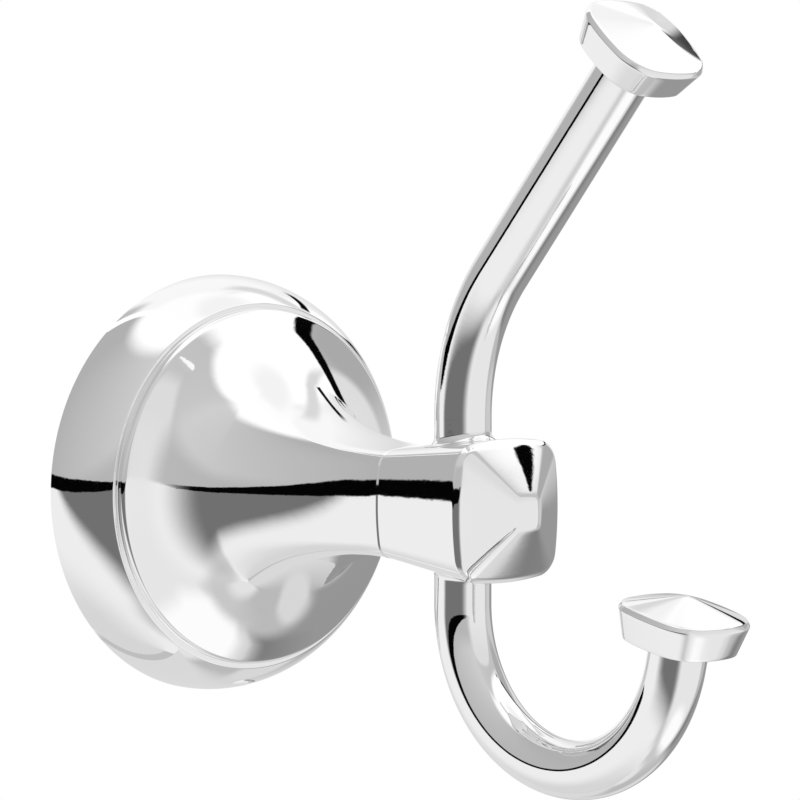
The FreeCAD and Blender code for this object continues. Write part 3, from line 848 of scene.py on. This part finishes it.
def far_studio(sky):
    """The room: pale floor, grey wall, white ceiling, a dark wedge and a black bar."""
    turn, height = sky.turn, sky.height

    # Floor: paler far off, duller right below the front and to the right
    light = sky.ramp(turn, (-145.0, -85.0), (213.0, 228.0))
    far_off = sky.above(height, sky.line(-33.0, slope=-0.45, turn=-150.0), soft=34.0)
    light = sky.lay(light, 237.0, far_off)
    light = sky.lay(light, 203.0, sky.oval((0.0, -63.0), (52.0, 11.0), soft=1.0))
    light = sky.lay(light, 190.0, sky.above(turn, 62.0, soft=14.0))

    # Wall, brighter higher up, and the ceiling, whose edge is bowed
    wall_part = sky.above(height, 0.0, soft=2.0)
    light = sky.lay(light, sky.ramp(turn, WALL_SPAN, (172.0, 184.0)), wall_part)
    glow_edge = sky.line(11.0, slope=0.25, turn=-60.0)
    glow = sky.both(wall_part, sky.above(height, glow_edge, soft=14.0))
    light = sky.lay(light, sky.ramp(turn, WALL_SPAN, (176.0, 206.0)), glow)
    bow = sky.math("POWER", sky.away(turn, -100.0, 80.0), 2.0)
    ceiling = sky.math("MULTIPLY_ADD", bow, -9.0, 70.0)
    light = sky.lay(light, WHITE, sky.above(height, ceiling, soft=11.0))

    # Dark wedge under the horizon, whose lower edge is softer further down
    spread = sky.math("MULTIPLY_ADD", height, -0.55, 6.0)
    foot = sky.math("SUBTRACT", height, sky.line(-30.5, slope=-0.57, turn=-80.0))
    wedge = sky.both(
        sky.above(sky.math("DIVIDE", foot, spread), 0.0, soft=1.0),
        sky.below(height, 0.5, soft=2.0),
        sky.between(turn, -133.0, -34.0, soft=(10.0, 33.0)))
    light = sky.lay(light, 112.0, wedge)

    # Black bar along the horizon, straight in the room, so it is measured by the rise per reach
    reach = sky.math(
        "ADD",
        sky.math("MULTIPLY", sky.x, math.sin(BAND_TURN)),
        sky.math("MULTIPLY", sky.y, -math.cos(BAND_TURN)))
    rise = sky.math("DIVIDE", sky.z, sky.math("MAXIMUM", reach, LEAST_REACH))
    band = sky.both(
        sky.between(rise, BAND_LOW, BAND_HIGH, soft=(BAND_SOFT, BAND_SOFT)),
        sky.between(turn, -174.0, -31.0, soft=(10.0, 28.0)))
    return sky.lay(light, 4.0, band)


# The seam between the tent's white top and its grey side: its height, the turn where it starts to
# drop, how far it drops over a span of turn, and how that drop gathers
SEAM_HEIGHT = 32.3
SEAM_TURN = 68.0
SEAM_DROP = 18.4
SEAM_SPAN = 54.0
SEAM_POWER = 2.2


def tent_lower(sky, light):
    """Bottom and grey right side of the tent."""
    turn, height = sky.turn, sky.height

    # Bottom, a little duller to the right and behind
    front_part = sky.both(
        sky.above(height, -60.0, soft=12.0), sky.below(turn, 60.0, soft=20.0))
    light = sky.lay(light, 216.0, front_part)
    light = sky.lay(light, 216.0, sky.above(turn, 134.0, soft=30.0))

    # Right side, with two paler patches and a duller one
    side = sky.both(
        sky.between(turn, 56.5, 124.0, soft=(6.0, 10.0)), sky.above(height, -60.0, soft=8.0))
    light = sky.lay(light, 186.0, side)
    light = sky.lay(light, 214.0, sky.oval((113.0, -48.0), (26.0, 11.0), soft=0.5))
    light = sky.lay(light, 201.0, sky.oval((77.0, -3.0), (16.0, 10.0), soft=0.5))
    light = sky.lay(light, 169.0, sky.oval((77.0, 18.0), (20.0, 13.0), soft=0.6))

    # Dark gap under a slanting edge, and the pale cloth over it
    slant = sky.math("MINIMUM", sky.line(-27.0, slope=0.93, turn=70.0), 0.5)
    gap = sky.both(
        sky.below(height, slant, soft=7.0),
        sky.above(height, sky.line(-51.0, slope=0.32, turn=70.0), soft=10.0),
        sky.between(turn, 60.0, 124.0, soft=(10.0, 12.0)))
    light = sky.lay(light, sky.ramp(turn, (66.0, 84.0), (126.0, 149.0)), gap)
    over_gap = sky.both(
        sky.above(turn, 97.0, soft=8.0),
        sky.above(height, slant, soft=7.0),
        sky.above(height, -25.0, soft=10.0))
    light = sky.lay(light, 220.0, over_gap)
    return sky.lay(light, 243.0, sky.oval((144.0, -6.0), (12.0, 14.0), soft=0.6))


def tent_front(sky, light):
    """Front of the tent: grey wall, round opening with a bright lower rim, and pale left side."""
    turn, height = sky.turn, sky.height
    front_wall = sky.both(sky.below(turn, 60.0, soft=2.0), sky.above(height, -4.0, soft=6.0))
    light = sky.lay(light, sky.ramp(turn, (-40.0, 20.0), (202.0, 192.0)), front_wall)
    opening = sky.oval((10.0, -13.0), (44.5, 47.5), soft=0.1, power=2.3)
    light = sky.lay(light, sky.ramp(height, (0.0, 24.0), (229.0, 219.0)), opening)
    rim = sky.both(
        sky.oval((20.0, -53.0), (40.0, 11.0), soft=0.8),
        sky.between(turn, -8.0, 48.0, soft=(24.0, 12.0)))
    light = sky.lay(light, 252.0, rim)
    left = sky.both(
        sky.below(turn, -14.0, soft=12.0), sky.between(height, -54.0, 2.0, soft=(12.0, 3.0)))
    return sky.lay(light, 229.0, left)


def tent_upper(sky, light, seam):
    """Top and back of the tent."""
    turn, height = sky.turn, sky.height

    # White top, down to the seam on the right
    left_top = sky.both(
        sky.above(height, sky.line(55.0, slope=-0.45), soft=8.0), sky.below(turn, 60.0, soft=4.0))
    right_top = sky.both(
        sky.above(height, seam, soft=3.0), sky.between(turn, 60.0, 124.0, soft=(4.0, 10.0)))
    light = sky.lay(light, WHITE, sky.math("ADD", left_top, right_top))

    # Back, brighter higher up, with a duller part right behind the object
    back = sky.both(sky.above(turn, 124.0, soft=14.0), sky.above(height, 4.0, soft=8.0))
    light = sky.lay(light, sky.ramp(height, (4.0, 36.0), (212.0, 247.0)), back)
    rear = sky.both(
        sky.above(turn, 172.0, soft=8.0), sky.between(height, 2.0, 46.0, soft=(6.0, 10.0)))
    light = sky.lay(light, 189.0, rear)

    # Crown, with a slightly duller patch, and the dull fold that falls from it to the right
    crown = sky.both(sky.above(height, 59.0, soft=8.0), sky.above(turn, 50.0, soft=30.0))
    light = sky.lay(light, 254.0, crown)
    light = sky.lay(light, 243.0, sky.oval((92.0, 70.0), (44.0, 12.0), soft=0.8))
    dull_fold = sky.both(
        sky.stripe(sky.line(33.0, slope=0.46, turn=100.0), half=5.0, soft=6.0),
        sky.between(turn, 99.0, 134.0, soft=(10.0, 10.0)))
    return sky.lay(light, 216.0, dull_fold)


def tent_seams(sky, light, seam):
    """Black lines of the tent: along the seam, a short one behind it, and the seam's end knot."""
    turn, height = sky.turn, sky.height
    along = sky.both(
        sky.stripe(seam, half=sky.line(2.1, slope=-0.004, turn=SEAM_TURN), soft=0.8),
        sky.between(turn, 65.5, 128.0, soft=(3.0, 8.0)))
    light = sky.lay(light, 5.0, along)
    behind = sky.both(
        sky.stripe(sky.line(34.2, slope=-0.38, turn=108.0), half=1.5, soft=0.8),
        sky.between(turn, 114.0, 131.0, soft=(3.0, 4.0)))
    light = sky.lay(light, 8.0, behind)
    knot = sky.both(
        sky.between(turn, 53.0, 57.5, soft=(0.8, 0.8)),
        sky.between(height, 31.0, 34.6, soft=(0.8, 0.8)))
    return sky.lay(light, 5.0, knot)


def near_studio(sky):
    """The light tent: white overhead, bright in front, grey to the right, with dark seams."""
    bottom_edge = sky.line(-76.0, slope=-0.05, turn=20.0)
    light = sky.ramp(sky.turn, (30.0, 80.0), (199.0, 185.0))
    light = sky.lay(226.0, light, sky.above(sky.height, bottom_edge, soft=9.0))
    light = tent_lower(sky, light)
    light = tent_front(sky, light)
    past = sky.math("DIVIDE", sky.math("SUBTRACT", sky.turn, SEAM_TURN), SEAM_SPAN)
    drop = sky.math("POWER", sky.math("MAXIMUM", past, 0.0), SEAM_POWER)
    seam = sky.math("MULTIPLY_ADD", drop, -SEAM_DROP, SEAM_HEIGHT)
    light = tent_upper(sky, light, seam)
    return tent_seams(sky, light, seam)


def build_room():
    """World: the room for reflections and light, plain white to the camera."""
    world = bpy.data.worlds.new("studio")
    world.use_nodes = True
    tree = world.node_tree
    vector = tree.nodes.new("ShaderNodeTexCoord").outputs["Generated"]
    light = far_studio(Sky(tree, vector))
    seen = tree.nodes.new("ShaderNodeLightPath").outputs["Is Camera Ray"]
    light = blend(tree, light, 1.0, seen)
    tree.links.new(light, tree.nodes["Background"].inputs["Strength"])
    tree.nodes["Background"].inputs["Color"].default_value = (1.0, 1.0, 1.0, 1.0)
    bpy.context.scene.world = world


def cloth(name):
    """A material for studio cloth, and its empty tree."""
    material = bpy.data.materials.new(name)
    material.use_nodes = True
    material.node_tree.nodes.clear()
    return material, material.node_tree


def lit_cloth(tree, light, cover):
    """Surface that glows with a strength where the cover is 1, and is clear where it is 0."""
    glow = tree.nodes.new("ShaderNodeEmission")
    clear = tree.nodes.new("ShaderNodeBsdfTransparent")
    mix = tree.nodes.new("ShaderNodeMixShader")
    output = tree.nodes.new("ShaderNodeOutputMaterial")
    tree.links.new(light, glow.inputs["Strength"])
    tree.links.new(cover, mix.inputs[0])
    tree.links.new(clear.outputs[0], mix.inputs[1])
    tree.links.new(glow.outputs[0], mix.inputs[2])
    tree.links.new(mix.outputs[0], output.inputs["Surface"])


def only_mirrored(item, material):
    """Makes an object into studio equipment that reflections see and the camera doesn't."""
    item.data.materials.append(material)
    item.visible_camera = False
    item.visible_diffuse = False
    item.visible_transmission = False
    item.visible_shadow = False


TENT_RADIUS = 280.0
TENT_CENTRE = Vector((0.0, -50.0, 0.0))
TENT_COLUMNS = 64
TENT_ROWS = 32
TENT_OPEN_TURN = -22.0


def build_tent():
    """Light tent close round the object, for reflections only. It is open to the left."""
    rings = []
    for row in range(TENT_ROWS + 1):
        height = -math.pi / 2.0 + math.pi * row / TENT_ROWS
        centre = np.array([0.0, 0.0, TENT_RADIUS * math.sin(height)])
        if row in (0, TENT_ROWS):
            rings.append(centre)
        else:
            rings.append(circle(TENT_RADIUS * math.cos(height), TENT_COLUMNS) + centre)
    tent = solid("tent", rings)
    tent.location = TENT_CENTRE * MM
    material, tree = cloth("tent_cloth")
    unit = tree.nodes.new("ShaderNodeVectorMath")
    unit.operation = "NORMALIZE"
    tree.links.new(object_place(tree), unit.inputs[0])
    sky = Sky(tree, unit.outputs["Vector"])
    lit_cloth(tree, near_studio(sky), sky.above(sky.turn, TENT_OPEN_TURN, soft=20.0))
    only_mirrored(tent, material)


# The card beside the upper finial. Its outline and edges are in its own plane, in millimetres,
# across and up. A side edge and a top edge, each a sloping line, fade out softly, and what sees the
# card aslant doesn't see it at all.
FLAG_CENTRE = Vector((30.8, -92.4, 83.1))
FLAG_WAY = Vector((0.861, 0.339, 0.380))
FLAG_OUTLINE = (
    (7.0, -2.6), (7.0, 1.0), (3.7, 3.5), (-1.0, 7.0), (-6.0, 10.5), (-10.0, 12.0), (-10.0, -2.6))
FLAG_SIDE = -6.8
FLAG_SIDE_LEAN = 0.45
FLAG_SIDE_SOFT = 3.0
FLAG_TOP = 3.6
FLAG_TOP_ACROSS = 0.9
FLAG_TOP_UP = 1.1
FLAG_TOP_FADE = 2.6
FLAG_SPAN = (-2.5, 3.0)
FLAG_TONES = (62.0, 96.0)
FLAG_ASLANT = (0.35, 0.5)


def build_flag():
    """Small dark card. Its reflection is the dark streak on the upper finial's top."""
    outline = np.array([(across, up, 0.0) for across, up in FLAG_OUTLINE])
    card = solid("flag", [outline, outline.mean(axis=0)])
    side = Vector((0.0, 0.0, 1.0)).cross(FLAG_WAY).normalized()
    way = FLAG_WAY.normalized()
    turn = Matrix((side, way.cross(side), way)).transposed().to_4x4()
    card.matrix_world = Matrix.Translation(FLAG_CENTRE * MM) @ turn
    material, tree = cloth("flag_felt")
    place = tree.nodes.new("ShaderNodeSeparateXYZ")
    tree.links.new(object_place(tree), place.inputs[0])
    across = numeric(tree, "DIVIDE", place.outputs[0], MM)
    up = numeric(tree, "DIVIDE", place.outputs[1], MM)
    tones = [strength(tone) for tone in FLAG_TONES]
    light = ranged(tree, up, *FLAG_SPAN, *tones, "LINEAR")
    edge = numeric(tree, "MULTIPLY_ADD", up, FLAG_SIDE_LEAN, across)
    half = FLAG_SIDE_SOFT / 2.0
    cover = ranged(tree, edge, FLAG_SIDE - half, FLAG_SIDE + half)
    top = numeric(
        tree, "MULTIPLY_ADD", up, FLAG_TOP_UP, numeric(tree, "MULTIPLY", across, FLAG_TOP_ACROSS))
    low, high = FLAG_TOP - FLAG_TOP_FADE, FLAG_TOP + FLAG_TOP_FADE / 2.0
    cover = numeric(tree, "MULTIPLY", cover, ranged(tree, top, low, high, 1.0, 0.0))
    aslant = tree.nodes.new("ShaderNodeLayerWeight").outputs["Facing"]
    cover = numeric(tree, "MULTIPLY", cover, ranged(tree, aslant, *FLAG_ASLANT, 1.0, 0.0))
    lit_cloth(tree, light, cover)
    only_mirrored(card, material)


FLOOR_LEVEL = -400.0
FLOOR_RADIUS = 600.0
FLOOR_THICK = 4.0
FLOOR_COLUMNS = 48
FLOOR_GREY = 0.86
FLOOR_LIFT = 0.33


def build_floor():
    """Pale round floor below the object, white to the camera but for the object's shadow."""
    edge = circle(FLOOR_RADIUS, FLOOR_COLUMNS)
    drop = np.array([0.0, 0.0, FLOOR_THICK])
    floor = solid("floor", [-drop, edge - drop, edge, np.zeros(3)])
    floor.location = Vector((TENT_CENTRE.x, TENT_CENTRE.y, FLOOR_LEVEL)) * MM
    material = bpy.data.materials.new("floor_paper")
    material.use_nodes = True
    tree = material.node_tree
    shader = tree.nodes["Principled BSDF"]
    grain = noise(tree, object_place(tree), size=1.2)
    shader.inputs["Base Color"].default_value = (FLOOR_GREY, FLOOR_GREY, FLOOR_GREY, 1.0)
    tree.links.new(ranged(tree, grain, 0.3, 0.7, 0.75, 0.85), shader.inputs["Roughness"])
    tree.links.new(bumped(tree, grain, reach=0.01), shader.inputs["Normal"])
    seen = tree.nodes.new("ShaderNodeLightPath").outputs["Is Camera Ray"]
    lift = numeric(tree, "MULTIPLY", seen, FLOOR_LIFT)
    tree.links.new(lift, shader.inputs["Emission Strength"])
    shader.inputs["Emission Color"].default_value = (1.0, 1.0, 1.0, 1.0)
    floor.data.materials.append(material)
    floor.visible_glossy = False
    floor.visible_diffuse = False


# Camera, fitted to the photo's outlines. It looks at AIM from DISTANCE millimetres, and is moved
# in its own plane by PAN. FOCAL and IMAGE are the focal length and the photo's width in pixels.

CAMERA_BACK = Vector((-0.6679, -0.7415, 0.0640))
CAMERA_RIGHT = Vector((0.7430, -0.6693, 0.0))
AIM = Vector((0.0, -50.0, 0.0))
DISTANCE = 594.77
PAN_RIGHT = 2.712
PAN_UP = -16.194
FOCAL = 3743.68
IMAGE = 800.0
SENSOR = 36.0
CLIP_START = 0.01
CLIP_END = 20.0


def build_camera():
    """The photo's camera."""
    back = CAMERA_BACK.normalized()
    right = CAMERA_RIGHT.normalized()
    up = back.cross(right).normalized()
    data = bpy.data.cameras.new("camera")
    data.sensor_width = SENSOR
    data.lens = FOCAL * SENSOR / IMAGE
    data.clip_start = CLIP_START
    data.clip_end = CLIP_END
    item = bpy.data.objects.new("camera", data)
    bpy.context.scene.collection.objects.link(item)
    place = AIM + back * DISTANCE - right * PAN_RIGHT - up * PAN_UP
    turn = Matrix((right, up, back)).transposed().to_4x4()
    item.matrix_world = Matrix.Translation(place * MM) @ turn
    bpy.context.scene.camera = item


build_camera()

# The four chromed castings stand in for their solids
post = build_post()
hook, upper_end, lower_end = build_hook()
upper_finial = build_finial("upper_cap", *upper_end)
lower_finial = build_finial("lower_cap", *lower_end)
chrome = polished_chrome()
castings = {
    "post": post, "hook": hook, "upper_finial": upper_finial, "lower_finial": lower_finial}
for node, piece in castings.items():
    piece.data.materials.clear()
    piece.data.materials.append(chrome)
    smooth(piece)
    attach(piece, "root")
    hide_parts(node)
for piece in (upper_finial, lower_finial):
    piece.visible_glossy = False

# The steel pieces keep their solids' meshes
zinc = zinc_plate()
spring = spring_steel()
steel = {
    "joint_screw": zinc, "wall_bracket": zinc, "lock_washer": spring, "set_screw": spring}
for node, material in steel.items():
    mesh = bpy.data.objects[node].data
    mesh.materials.clear()
    mesh.materials.append(material)

bpy.context.scene.view_settings.view_transform = "Standard"
build_room()
build_tent()
build_flag()
build_floor()
